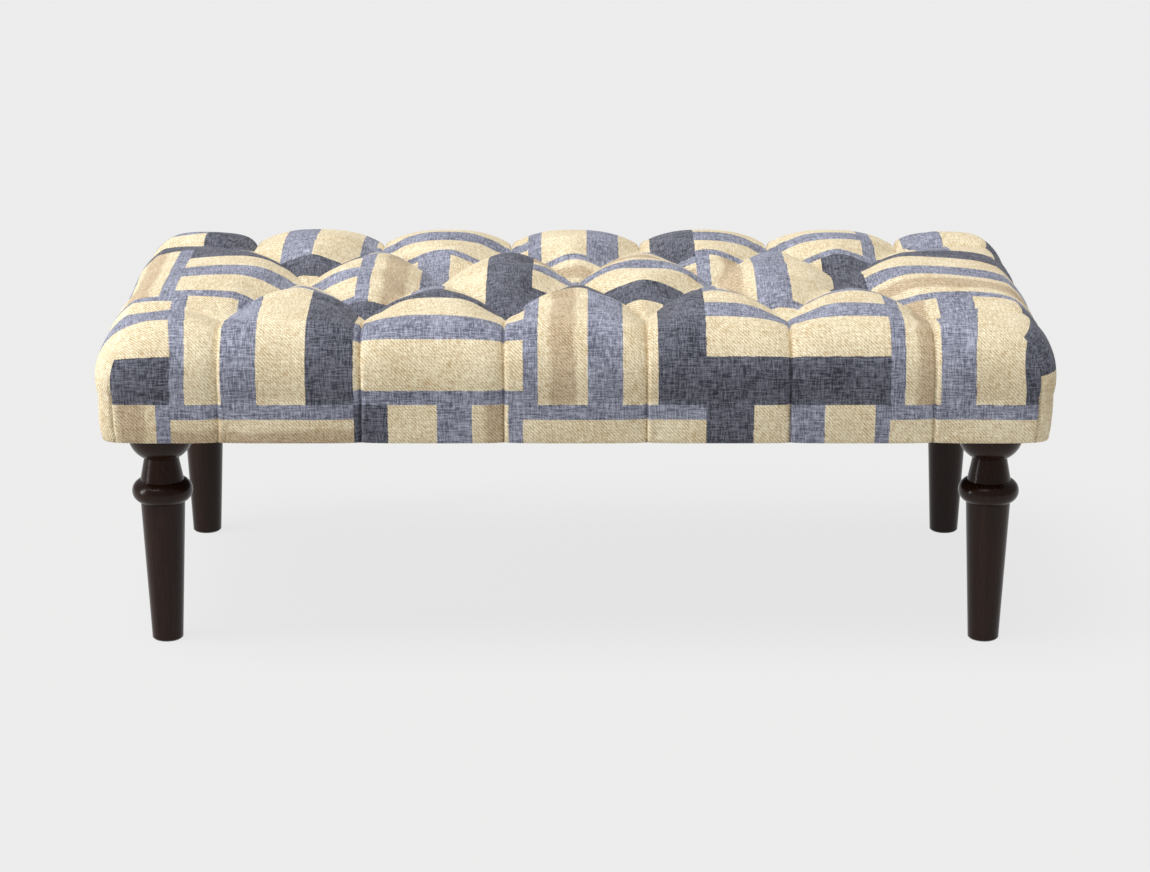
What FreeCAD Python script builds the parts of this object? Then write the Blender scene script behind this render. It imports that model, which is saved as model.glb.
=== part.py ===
import FreeCAD, Part
import math
import os

# Tufted footstool of bench size: a padded box seat on four turned legs, in millimetres.
# X runs along the seat, Y from the front to the rear and Z up, from the floor under the middle of the seat.

# Seat outline
seat_length = 1219.0
seat_depth = 610.0
side_padding = 18.0
corner_round = 30.0
hem_draw = 10.0
belly_height = 58.0
shoulder_inset = 48.0
shoulder_drop = 23.0

# Tufting: a front and a rear row, with the middle row half a step aside
tuft_columns = 6
tuft_end_margin = 154.5
tuft_edge_margin = 108.0
tuft_depth = 31.0
tuft_half_width = 6.0
pleat_rise = 11.0
pleat_draw = 5.0
pleat_shoulder_drop = 11.0
pleat_crown = 2.0
least_crown = 0.5

# Rounding of the padded form: where each arc's middle lies, as a share of the way along and of the way up
hem_round_share = (0.46, 0.32)
side_round_share = (0.2, 0.62)
crown_share = 0.45
bay_steps = 6

# Rounding of the end face: share of the end margin or of the shoulder's inset from the face, share of the
# height that is kept above and below the belly, and share of the tufts' depth that the end pleats keep
end_rise_share = (0.72, 0.99, 1.0, 0.8)
end_shoulder_pleat = 0.5
end_side_shares = ((0.5, 0.6, 1.0, 0.4), (0.2, 0.4, 1.0, 0.3), (0.05, 0.22, 0.6, 0.3), (0.0, 0.1, 0.25, 0.3))
end_edge = 4

# Layers of the seat, from the floor up
leg_height = 285.0
dust_cover_thickness = 1.0
cover_thickness = 1.5
rail_height = 75.0
deck_thickness = 12.0
pad_crown = 76.5
batting_thickness = 12.0
layer_gap = 0.3

# Frame under the deck
rail_thickness = 19.0
corner_block_side = 105.0
corner_block_lip = 25.0
corner_block_height = 40.0
cross_rail_share = 0.75
cover_turn_under = 45.0
dust_cover_inset = 4.0

# Turned legs
leg_inset = 72.5
foot_radius = 20.2
foot_bevel = 2.0
taper_top_radius = 28.8
ring_radius = 39.3
ring_thickness = 29.2
neck_base_radius = 28.2
neck_top_radius = 22.2
neck_length = 30.6
bun_radius = 42.5
bun_height = 36.4
bun_band = 6.0
bun_lip = 1.2
bun_bevel = 1.2
bun_round_share = (0.7, 0.4)

# Leg fixings
bolt_radius = 4.0
bolt_in_leg = 45.0
bolt_past_block = 6.0
bolt_point = 6.0
tee_barrel_radius = 5.3
tee_barrel_length = 9.0
tee_flange_radius = 11.0
tee_flange_thickness = 1.6

# Tuft ties
twine_radius = 1.0
twine_hole_radius = 4.0
knot_radius = 3.0
washer_radius = 12.0
washer_thickness = 2.0

# Screws and staples
screw_radius = 2.0
screw_head_radius = 4.0
screw_head_height = 3.0
screw_point = 4.0
rail_screw_length = 50.0
rail_screw_shares = (0.25, 0.75)
deck_screw_length = 40.0
deck_screw_pitch = 260.0
end_deck_screw_y = 145.0
cross_deck_screw_y = 110.0
block_screw_places = (65.0, 92.0)
staple_pitch = 75.0
staple_crown = 10.0
staple_wire = 0.8
staple_leg = 8.0
cover_staple_inset = 7.0
dust_staple_inset = 13.0
fit_clearance = 0.1
bolt_clearance = 0.5

# Places worked out from the sizes above
half_length = seat_length / 2
half_depth = seat_depth / 2
hem_z = leg_height + dust_cover_thickness
rail_bottom = hem_z + cover_thickness
rail_top = rail_bottom + rail_height
deck_top = rail_top + deck_thickness
crest_z = deck_top + pad_crown
pit_z = crest_z - tuft_depth
belly_z = hem_z + belly_height
shoulder_z = crest_z - shoulder_drop
frame_x = half_length - side_padding
frame_y = half_depth - side_padding
leg_x = half_length - leg_inset
leg_y = half_depth - leg_inset
tuft_step = (seat_length - 2 * tuft_end_margin) / (tuft_columns - 1)
last_column = half_length - tuft_end_margin
row_y = half_depth - tuft_edge_margin
cross_rail_x = cross_rail_share * tuft_step
block_top = rail_bottom + corner_block_height

up = FreeCAD.Vector(0, 0, 1)
corner_signs = [(-1, -1), (1, -1), (-1, 1), (1, 1)]


def vec(x, y, z):
    return FreeCAD.Vector(x, y, z)


def arc(first, middle, last):
    return Part.Arc(first, middle, last).toShape()


def box(x0, x1, y0, y1, z0, z1):
    return Part.makeBox(x1 - x0, y1 - y0, z1 - z0, vec(x0, y0, z0))


def cylinder(radius, x, y, z0, z1):
    return Part.makeCylinder(radius, z1 - z0, vec(x, y, z0))


def save(name, shape):
    shape.exportStep("parts/" + name + ".step")


def mix(a, b, share):
    return a + (b - a) * share


# Tufted form: cross-sections along the seat, each a ring of lines and arcs

def half_section(share, crease_y, crease_z, inset):
    """Points of the front half of a cross-section, as (distance in from the face, height).
    share is 0 on a pleat and 1 midway between two pleats, and inset moves the form inwards."""
    draw = pleat_draw * (1 - share)
    drop = pleat_shoulder_drop * (1 - share)
    slant = inset * math.sqrt(0.5)
    crease_in = half_depth - crease_y
    crown_in = mix(shoulder_inset, crease_in, crown_share)
    crown_z = mix((pit_z + shoulder_z) / 2, crest_z, share)
    low_crown_z = max(crease_z, shoulder_z - drop) + pleat_crown
    hem_round_in, hem_round_up = hem_round_share
    side_round_in, side_round_up = side_round_share
    return {
        "hem": (hem_draw + draw + inset, hem_z + inset),
        "hem_round": (hem_round_in * hem_draw + draw + inset, mix(hem_z, belly_z, hem_round_up) + inset),
        "belly": (draw + inset, belly_z),
        "side_round": (
            side_round_in * shoulder_inset + draw + slant, mix(belly_z, shoulder_z, side_round_up) - slant),
        "shoulder": (shoulder_inset + slant, shoulder_z - drop - slant),
        "crown": (crown_in, max(crown_z, low_crown_z) - inset),
        "crease": (crease_in, crease_z - inset),
    }


def section_wire(x, half, middle_z, squeeze):
    """One closed cross-section at x. squeeze(point) pulls a point in towards the end of the seat."""
    def at(name, side):
        inward, height = squeeze(half[name])
        return vec(x, side * (half_depth - inward), height)

    top = vec(x, 0, squeeze((half_depth, middle_z))[1])
    edges = [Part.makeLine(at("hem", 1), at("hem", -1))]
    edges.append(arc(at("hem", -1), at("hem_round", -1), at("belly", -1)))
    edges.append(arc(at("belly", -1), at("side_round", -1), at("shoulder", -1)))
    edges.append(arc(at("shoulder", -1), at("crown", -1), at("crease", -1)))
    edges.append(arc(at("crease", -1), top, at("crease", 1)))
    edges.append(arc(at("crease", 1), at("crown", 1), at("shoulder", 1)))
    edges.append(arc(at("shoulder", 1), at("side_round", 1), at("belly", 1)))
    edges.append(arc(at("belly", 1), at("hem_round", 1), at("hem", 1)))
    return Part.Wire(edges)


def keep(point):
    return point


def bay_wires(inset):
    """Cross-sections from a column of the outer rows, at x = 0, to the next column of the middle row."""
    wires = []
    for i in range(bay_steps + 1):
        share = i / bay_steps
        bulge = math.sin(share * math.pi / 2)
        crease_y = mix(row_y, tuft_half_width, share)
        crease_z = pit_z + pleat_rise * math.sin(share * math.pi)
        half = half_section(bulge, crease_y, crease_z, inset)
        middle_z = max(mix(crest_z, pit_z, share ** 2), crease_z + least_crown) - inset
        wires.append(section_wire(share * tuft_step / 2, half, middle_z, keep))
    return wires


def end_wires(inset):
    """Cross-sections from the last column out to the end face, which rounds over as the front does."""
    rise_in, *rise = end_rise_share
    shoulder_share = (shoulder_z - belly_z) / (crest_z - belly_z)
    stations = [(tuft_end_margin, 1.0, 1.0, 1.0), (rise_in * tuft_end_margin, *rise)]
    stations.append((shoulder_inset, shoulder_share, 1.0, end_shoulder_pleat))
    for side_in, above, below, pleat in end_side_shares:
        stations.append((side_in * shoulder_inset, above, below, pleat))
    wires = []
    for distance, above, below, pleat in stations:
        corner = max(corner_round - distance, 0.0)
        pull = corner_round - math.sqrt(corner_round ** 2 - corner ** 2)

        def squeeze(point, above=above, below=below, pull=pull):
            inward, height = point
            part = above if height > belly_z else below
            return (inward + pull * (half_depth - inward) / half_depth, mix(belly_z, height, part))

        half = half_section(1 - pleat, row_y, crest_z - pleat * tuft_depth, inset)
        x = half_length - inset - distance * (tuft_end_margin - inset) / tuft_end_margin
        wires.append(section_wire(x, half, crest_z - inset, squeeze))
    return wires


def tufted_solid(inset):
    """The whole padded form, moved inwards by inset, from copies of one bay and one end."""
    flip = vec(1, 0, 0)
    bay = Part.makeLoft(bay_wires(inset), False, False)
    mirrored_bay = bay.mirror(vec(0, 0, 0), flip)
    wires = end_wires(inset)
    end_faces = Part.makeLoft(wires[:end_edge + 1], False, False).Faces
    end_faces += Part.makeLoft(wires[end_edge:], False, False).Faces
    end_faces.append(Part.Face(wires[-1]))
    faces = end_faces + [face.mirror(vec(0, 0, 0), flip) for face in end_faces]
    for i in range(tuft_columns - 1):
        start = -last_column + i * tuft_step
        faces += bay.translated(vec(start, 0, 0)).Faces
        faces += mirrored_bay.translated(vec(start + tuft_step, 0, 0)).Faces
    skin = Part.makeCompound(faces)
    skin.sewShape()
    return Part.makeSolid(skin.Shells[0])


def tuft_places():
    """Where the cover is pulled down, as (x, y)."""
    places = []
    for i in range(tuft_columns):
        x = -last_column + i * tuft_step
        places += [(x, -row_y), (x, row_y)]
        if i < tuft_columns - 1:
            places.append((x + tuft_step / 2, 0.0))
    return places


# Fixings

def screw(length, slack):
    """A countersunk screw standing on its head at the origin and pointing up."""
    wide = screw_head_radius + slack
    thin = screw_radius + slack
    outline = [
        vec(0, 0, 0),
        vec(wide, 0, 0),
        vec(thin, 0, screw_head_height),
        vec(thin, 0, length - screw_point),
        vec(0, 0, length + slack),
        vec(0, 0, 0),
    ]
    return Part.Face(Part.makePolygon(outline)).revolve(vec(0, 0, 0), up, 360)


def placed(shape, position, direction):
    copy = shape.copy()
    copy.Placement = FreeCAD.Placement(position, FreeCAD.Rotation(up, direction))
    return copy


def screw_set(length, places):
    """Screws and the holes they need, for places given as (position, direction)."""
    solid = screw(length, 0.0)
    hole = screw(length, fit_clearance)
    solids = [placed(solid, *place) for place in places]
    holes = [placed(hole, *place) for place in places]
    return solids, holes


def rail_screw_places():
    """Through the long rails into the end rails and the cross rails."""
    places = []
    for side in (-1, 1):
        for x in (frame_x - rail_thickness / 2, cross_rail_x):
            for share in rail_screw_shares:
                z = rail_bottom + share * rail_height
                places.append((vec(x, side * frame_y, z), vec(0, -side, 0)))
                places.append((vec(-x, side * frame_y, z), vec(0, -side, 0)))
    return places


def block_screw_set_places():
    """Through the rails into the corner blocks."""
    places = []
    z = rail_bottom + corner_block_height / 2
    inner_x = frame_x - rail_thickness
    inner_y = frame_y - rail_thickness
    for sx, sy in corner_signs:
        for along in block_screw_places:
            places.append((vec(sx * (inner_x - along), sy * frame_y, z), vec(0, -sy, 0)))
            places.append((vec(sx * frame_x, sy * (inner_y - along), z), vec(-sx, 0, 0)))
    return places


def deck_screw_places():
    """Down through the deck into all the rails."""
    places = []
    line_x = frame_x - rail_thickness / 2
    line_y = frame_y - rail_thickness / 2
    for side in (-1, 1):
        places += [(x, side * line_y) for x in spread(frame_x - rail_thickness, deck_screw_pitch, 0.0)]
        places += [(side * line_x, end_deck_screw_y), (side * line_x, -end_deck_screw_y)]
        places += [(side * cross_rail_x, cross_deck_screw_y), (side * cross_rail_x, -cross_deck_screw_y)]
    return [(vec(x, y, deck_top), vec(0, 0, -1)) for x, y in places]


def spread(half_span, pitch, shift):
    """Evenly pitched positions either side of the middle."""
    count = int(half_span // pitch)
    steps = [(k + shift) * pitch for k in range(-count, count + 1)]
    return [step for step in steps if abs(step) <= half_span]


def staple(x, y, z, along_x, slack):
    """A staple pushed up from below, with the underside of its crown at z."""
    half_crown = staple_crown / 2
    half_wire = staple_wire / 2 + slack
    reach = half_crown + slack
    tip = staple_leg + slack
    shape = box(-reach, reach, -half_wire, half_wire, -slack, staple_wire + slack)
    for side in (-1, 1):
        middle = side * (half_crown - staple_wire / 2)
        shape = shape.fuse(box(middle - half_wire, middle + half_wire, -half_wire, half_wire, 0, tip))
    shape = shape.removeSplitter()
    if not along_x:
        shape.rotate(vec(0, 0, 0), up, 90)
    shape.translate(vec(x, y, z))
    return shape


def staple_set(line_inset, z, shift):
    """Staples along all four rails and the holes they need, clear of the legs."""
    spots = []
    line_x = frame_x - line_inset
    line_y = frame_y - line_inset
    for side in (-1, 1):
        spots += [(x, side * line_y, True) for x in spread(line_x - staple_crown, staple_pitch, shift)]
        spots += [(side * line_x, y, False) for y in spread(line_y - staple_crown, staple_pitch, shift)]
    clear = bun_radius + staple_crown
    free = []
    for x, y, along_x in spots:
        if math.hypot(abs(x) - leg_x, abs(y) - leg_y) > clear:
            free.append((x, y, along_x))
    solids = [staple(x, y, z, along_x, 0.0) for x, y, along_x in free]
    holes = [staple(x, y, z, along_x, fit_clearance) for x, y, along_x in free]
    return solids, holes


# Frame pieces

def corner_name(sx, sy):
    return ("front" if sy < 0 else "rear") + ("_left" if sx < 0 else "_right")


def corner_block(sx, sy):
    """A glued block in the corner of the rails, bored for the leg's bolt and its tee nut."""
    side = corner_block_side
    lip = corner_block_lip
    outline = [(0, 0), (side, 0), (side, lip), (lip, side), (0, side), (0, 0)]
    corner_x = frame_x - rail_thickness
    corner_y = frame_y - rail_thickness
    points = [vec(sx * (corner_x - a), sy * (corner_y - b), rail_bottom) for a, b in outline]
    block = Part.Face(Part.makePolygon(points)).extrude(vec(0, 0, corner_block_height))
    bolt_hole = cylinder(bolt_radius + bolt_clearance, sx * leg_x, sy * leg_y, rail_bottom, block_top)
    tee_hole = cylinder(
        tee_barrel_radius + fit_clearance, sx * leg_x, sy * leg_y, block_top - tee_barrel_length, block_top)
    return block.cut([bolt_hole, tee_hole])


def tee_nut(x, y):
    barrel = cylinder(tee_barrel_radius, x, y, block_top - tee_barrel_length, block_top)
    flange = cylinder(tee_flange_radius, x, y, block_top, block_top + tee_flange_thickness)
    bore = cylinder(
        bolt_radius + fit_clearance, x, y, block_top - tee_barrel_length, block_top + tee_flange_thickness)
    return barrel.fuse(flange).cut(bore)


def hanger_bolt(x, y):
    low = leg_height - bolt_in_leg
    high = block_top + bolt_past_block
    bevel = bolt_radius / 4
    outline = [
        vec(0, 0, low),
        vec(bolt_radius, 0, low + bolt_point),
        vec(bolt_radius, 0, high - bevel),
        vec(bolt_radius - bevel, 0, high),
        vec(0, 0, high),
        vec(0, 0, low),
    ]
    bolt = Part.Face(Part.makePolygon(outline)).revolve(vec(0, 0, 0), up, 360)
    return bolt.translated(vec(x, y, 0))


# Turned leg: foot, long taper, ring, neck and half-round bun, turned about its own axis

def leg(x, y):
    neck_top = leg_height - bun_height
    ring_top = neck_top - neck_length
    ring_bottom = ring_top - ring_thickness
    band_bottom = leg_height - bun_band
    bun_start = neck_top_radius + bun_lip
    round_out, round_up = bun_round_share
    bun_middle = vec(mix(bun_start, bun_radius, round_out), 0, mix(neck_top, band_bottom, round_up))
    edges = [
        Part.makeLine(vec(0, 0, 0), vec(foot_radius - foot_bevel, 0, 0)),
        Part.makeLine(vec(foot_radius - foot_bevel, 0, 0), vec(foot_radius, 0, foot_bevel)),
        Part.makeLine(vec(foot_radius, 0, foot_bevel), vec(taper_top_radius, 0, ring_bottom)),
        arc(
            vec(taper_top_radius, 0, ring_bottom),
            vec(ring_radius, 0, (ring_bottom + ring_top) / 2),
            vec(neck_base_radius, 0, ring_top)),
        Part.makeLine(vec(neck_base_radius, 0, ring_top), vec(neck_top_radius, 0, neck_top)),
        Part.makeLine(vec(neck_top_radius, 0, neck_top), vec(bun_start, 0, neck_top)),
        arc(vec(bun_start, 0, neck_top), bun_middle, vec(bun_radius, 0, band_bottom)),
        Part.makeLine(vec(bun_radius, 0, band_bottom), vec(bun_radius, 0, leg_height - bun_bevel)),
        Part.makeLine(vec(bun_radius, 0, leg_height - bun_bevel), vec(bun_radius - bun_bevel, 0, leg_height)),
        Part.makeLine(vec(bun_radius - bun_bevel, 0, leg_height), vec(0, 0, leg_height)),
        Part.makeLine(vec(0, 0, leg_height), vec(0, 0, 0)),
    ]
    turned = Part.Face(Part.Wire(edges)).revolve(vec(0, 0, 0), up, 360)
    bore_bottom = leg_height - bolt_in_leg - fit_clearance
    bore = cylinder(bolt_radius + fit_clearance, 0, 0, bore_bottom, leg_height)
    return turned.cut(bore).translated(vec(x, y, 0))


# Soft pieces

def padding_above_deck(inset):
    below = box(-seat_length, seat_length, -seat_depth, seat_depth, 0, deck_top)
    return tufted_solid(inset).cut(below)


def twine(x, y):
    """A tie from under the cover down through the pad and the deck to a knot below its washer."""
    knot_z = rail_top - washer_thickness - knot_radius
    strand = cylinder(twine_radius, x, y, knot_z, pit_z - cover_thickness - layer_gap)
    return strand.fuse(Part.makeSphere(knot_radius, vec(x, y, knot_z)))


def washer(x, y):
    disc = cylinder(washer_radius, x, y, rail_top - washer_thickness, rail_top)
    hole = cylinder(twine_radius + fit_clearance, x, y, rail_top - washer_thickness, rail_top)
    return disc.cut(hole)


def twine_holes(z0, z1):
    return [cylinder(twine_hole_radius, x, y, z0, z1) for x, y in tuft_places()]


def bolt_holes(z0, z1):
    radius = bolt_radius + bolt_clearance
    return [cylinder(radius, sx * leg_x, sy * leg_y, z0, z1) for sx, sy in corner_signs]


os.makedirs("parts", exist_ok=True)

rail_screws, rail_screw_holes = screw_set(rail_screw_length, rail_screw_places())
block_screws, block_screw_holes = screw_set(rail_screw_length, block_screw_set_places())
deck_screws, deck_screw_holes = screw_set(deck_screw_length, deck_screw_places())
cover_staples, cover_staple_holes = staple_set(cover_staple_inset, hem_z, 0.0)
dust_staples, dust_staple_holes = staple_set(dust_staple_inset, leg_height - staple_wire, 0.5)
frame_holes = rail_screw_holes + block_screw_holes + deck_screw_holes
staple_holes = cover_staple_holes + dust_staple_holes

# Legs and their fixings
for sx, sy in corner_signs:
    save("leg_" + corner_name(sx, sy), leg(sx * leg_x, sy * leg_y))
    save("corner_block_" + corner_name(sx, sy), corner_block(sx, sy).cut(block_screw_holes))
save("hanger_bolts", Part.makeCompound([hanger_bolt(sx * leg_x, sy * leg_y) for sx, sy in corner_signs]))
save("tee_nuts", Part.makeCompound([tee_nut(sx * leg_x, sy * leg_y) for sx, sy in corner_signs]))

# Rails and deck
inner_y = frame_y - rail_thickness
half_rail = rail_thickness / 2
rails = {
    "front_rail": box(-frame_x, frame_x, -frame_y, -inner_y, rail_bottom, rail_top),
    "rear_rail": box(-frame_x, frame_x, inner_y, frame_y, rail_bottom, rail_top),
    "left_rail": box(-frame_x, rail_thickness - frame_x, -inner_y, inner_y, rail_bottom, rail_top),
    "right_rail": box(frame_x - rail_thickness, frame_x, -inner_y, inner_y, rail_bottom, rail_top),
    "left_cross_rail": box(
        -cross_rail_x - half_rail, half_rail - cross_rail_x, -inner_y, inner_y, rail_bottom, rail_top),
    "right_cross_rail": box(
        cross_rail_x - half_rail, cross_rail_x + half_rail, -inner_y, inner_y, rail_bottom, rail_top),
}
for name, rail in rails.items():
    save(name, rail.cut(frame_holes + staple_holes))
deck = box(-frame_x, frame_x, -frame_y, frame_y, rail_top, deck_top)
save("seat_deck", deck.cut(twine_holes(rail_top, deck_top) + deck_screw_holes))
save("rail_screws", Part.makeCompound(rail_screws))
save("corner_block_screws", Part.makeCompound(block_screws))
save("deck_screws", Part.makeCompound(deck_screws))

# Pad, cover and ties
batting_inset = cover_thickness + layer_gap
cavity_inset = batting_inset + batting_thickness
pad_holes = twine_holes(deck_top, crest_z)
foam = padding_above_deck(cavity_inset + layer_gap)
save("seat_foam", foam.cut(pad_holes))
frame_block = box(
    -frame_x - layer_gap, frame_x + layer_gap, -frame_y - layer_gap, frame_y + layer_gap, 0, deck_top)
batting = tufted_solid(batting_inset).cut([frame_block, padding_above_deck(cavity_inset)])
save("batting_wrap", batting.cut(pad_holes))
window_x = frame_x - cover_turn_under
window_y = frame_y - cover_turn_under
window = box(-window_x, window_x, -window_y, window_y, 0, rail_bottom)
cover = tufted_solid(0.0).cut(tufted_solid(cover_thickness))
save("seat_cover", cover.cut([window] + staple_holes + bolt_holes(0, rail_bottom)))
save("tuft_ties", Part.makeCompound([twine(x, y) for x, y in tuft_places()]))
save("tie_washers", Part.makeCompound([washer(x, y) for x, y in tuft_places()]))

# Underside
dust_x = frame_x - dust_cover_inset
dust_y = frame_y - dust_cover_inset
dust_cover = box(-dust_x, dust_x, -dust_y, dust_y, leg_height, hem_z)
save("dust_cover", dust_cover.cut(dust_staple_holes + bolt_holes(leg_height, hem_z)))
save("cover_staples", Part.makeCompound(cover_staples))
save("dust_cover_staples", Part.makeCompound(dust_staples))
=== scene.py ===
import bpy, math
import numpy as np
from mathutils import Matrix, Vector
from mathutils.kdtree import KDTree


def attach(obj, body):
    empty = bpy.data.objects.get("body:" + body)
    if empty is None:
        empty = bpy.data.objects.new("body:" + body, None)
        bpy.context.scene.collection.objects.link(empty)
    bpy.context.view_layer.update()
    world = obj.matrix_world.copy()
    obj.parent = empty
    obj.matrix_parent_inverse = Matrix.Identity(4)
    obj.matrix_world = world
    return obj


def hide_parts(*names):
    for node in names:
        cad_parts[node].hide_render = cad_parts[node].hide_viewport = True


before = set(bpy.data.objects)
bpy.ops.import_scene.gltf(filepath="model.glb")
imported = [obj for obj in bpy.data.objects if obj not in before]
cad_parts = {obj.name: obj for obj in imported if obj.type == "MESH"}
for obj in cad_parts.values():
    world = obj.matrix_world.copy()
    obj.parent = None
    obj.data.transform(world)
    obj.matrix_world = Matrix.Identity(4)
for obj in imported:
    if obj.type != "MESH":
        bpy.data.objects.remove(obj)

scene = bpy.context.scene
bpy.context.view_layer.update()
mm = 0.001
print("frame loaded:", len(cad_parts), "nodes")


# camera, square on to the front and a little above

shot = {"lens": 98.95, "sensor": 36.0, "away": 4.1635, "up": 1.408, "pitch": 16.07, "side": -0.0007}


def setCamera(s):
    eye = bpy.data.cameras.new("photoCamera")
    eye.lens, eye.sensor_width, eye.clip_end = s["lens"], s["sensor"], 60
    holder = bpy.data.objects.new("photoCamera", eye)
    holder.location = (s["side"], -s["away"], s["up"])
    holder.rotation_euler = (math.radians(90 - s["pitch"]), 0, 0)
    scene.collection.objects.link(holder)
    scene.camera = holder
    print("camera set")


setCamera(shot)


# small shader language

class Wire:
    def __init__(self, finish, socket):
        self.finish, self.socket = finish, socket

    def sum(self, how, a, b=0.0, clamp=False):
        return self.finish.node("Math", {"operation": how, "use_clamp": clamp}, {0: a, 1: b})[0]

    def __add__(self, other):
        return self.sum("ADD", self, other)

    def __radd__(self, other):
        return self.sum("ADD", other, self)

    def __sub__(self, other):
        return self.sum("SUBTRACT", self, other)

    def __rsub__(self, other):
        return self.sum("SUBTRACT", other, self)

    def __mul__(self, other):
        return self.sum("MULTIPLY", self, other)

    def __rmul__(self, other):
        return self.sum("MULTIPLY", other, self)

    def __truediv__(self, other):
        return self.sum("DIVIDE", self, other)

    def __rtruediv__(self, other):
        return self.sum("DIVIDE", other, self)

    def __mod__(self, other):
        return self.sum("FLOORED_MODULO", self, other)

    def __rmod__(self, other):
        return self.sum("FLOORED_MODULO", other, self)

    def __gt__(self, other):
        return self.sum("GREATER_THAN", self, other)

    def __lt__(self, other):
        return self.sum("LESS_THAN", self, other)

    def floor(self):
        return self.sum("FLOOR", self)

    def fract(self):
        return self.sum("FRACT", self)

    def sin(self):
        return self.sum("SINE", self)

    def abs(self):
        return self.sum("ABSOLUTE", self)

    def clamp(self):
        return self.sum("ADD", self, 0.0, True)


class Finish:
    def __init__(self, name, **shader):
        self.material = bpy.data.materials.new(name)
        self.material.use_nodes = True
        self.tree = self.material.node_tree
        self.body = self.tree.nodes["Principled BSDF"]
        self.set(shader)

    def set(self, sockets):
        for key, value in sockets.items():
            self.plug(self.body, key, value)
        return self

    def plug(self, node, key, value):
        socket = node.inputs[key] if isinstance(key, int) else next(
            s for s in node.inputs if key in (s.identifier, s.name) and s.enabled)
        if isinstance(value, Wire):
            self.tree.links.new(value.socket, socket)
        elif isinstance(value, (tuple, list)) and socket.type == "RGBA" and len(value) == 3:
            socket.default_value = (*value, 1.0)
        else:
            socket.default_value = value

    def node(self, kind, settings=None, sockets=None):
        node = self.tree.nodes.new("ShaderNode" + kind)
        for key, value in (settings or {}).items():
            if key == "stops":
                ramp = node.color_ramp
                while len(ramp.elements) < len(value):
                    ramp.elements.new(1.0)
                for stop, (place, colour) in zip(ramp.elements, value):
                    stop.position, stop.color = place, (*colour, 1.0)
            elif key == "between":
                node.color_ramp.interpolation = value
            else:
                setattr(node, key, value)
        for key, value in (sockets or {}).items():
            self.plug(node, key, value)
        return [Wire(self, s) for s in node.outputs if s.enabled]

    def place(self, kind):
        return next(wire for wire in self.node("TexCoord") if wire.socket.name == kind)

    def split(self, vector):
        return self.node("SeparateXYZ", {}, {"Vector": vector})

    def join(self, x, y, z=0.0):
        return self.node("CombineXYZ", {}, {"X": x, "Y": y, "Z": z})[0]

    def noise(self, vector, scale=1.0, detail=2.0, rough=0.5, warp=0.0):
        return self.node("TexNoise", {}, {
            "Vector": vector, "Scale": scale, "Detail": detail, "Roughness": rough, "Distortion": warp})[0]

    def stretched(self, vector, x, y, z):
        return self.node("VectorMath", {"operation": "MULTIPLY"}, {0: vector, 1: (x, y, z)})[0]

    def spread(self, value, low, high):
        return self.node("MapRange", {"clamp": True}, {
            "Value": value, "From Min": low, "From Max": high})[0]

    def mix(self, share, a, b):
        return self.node("Mix", {"data_type": "RGBA"}, {
            "Factor_Float": share, "A_Color": a, "B_Color": b})[0]

    def ramp(self, value, stops, between="LINEAR"):
        return self.node("ValToRGB", {"stops": stops, "between": between}, {"Fac": value})[0]

    def bump(self, height, strength, distance):
        return self.node("Bump", {}, {"Height": height, "Strength": strength, "Distance": distance})[0]


def srgb(r, g, b):
    def one(c):
        c = c / 255
        return c / 12.92 if c <= 0.04045 else ((c + 0.055) / 1.055) ** 2.4
    return one(r), one(g), one(b)


def waves(along, length):
    return (along * (2 * math.pi / length)).sin()


# woven linen cover with turned bars, laid in fabric metres

linen = {
    # each colour as its deep and its pale yarn
    "navy": (srgb(44, 46, 56), srgb(138, 140, 155)), "slate": (srgb(90, 93, 109), srgb(194, 197, 216)),
    "cream": (srgb(190, 163, 118), srgb(253, 244, 215)), "tan": (srgb(156, 131, 95), srgb(222, 203, 173)),
    "block": 0.262, "start": (0.071, 0.148),
    "bars": ((0.0, "navy"), (0.24, "cream"), (0.49, "slate"), (0.67, "cream"), (0.925, "slate")),
    "faded": 0.80, "fadedWide": 0.064, "unfaded": 0.5,
    # noise scales to the metre, with the rib and the ragged edge as lengths
    "threadAcross": 520.0, "threadAlong": 72.0, "slubAcross": 270.0, "slubAlong": 16.0,
    "twill": (110.0, 540.0), "rib": 0.005, "cloud": 17.0,
    "ragged": 0.0024, "cloudy": 0.6, "contrast": 1.6, "bump": (0.12, 0.0008),
}


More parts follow.
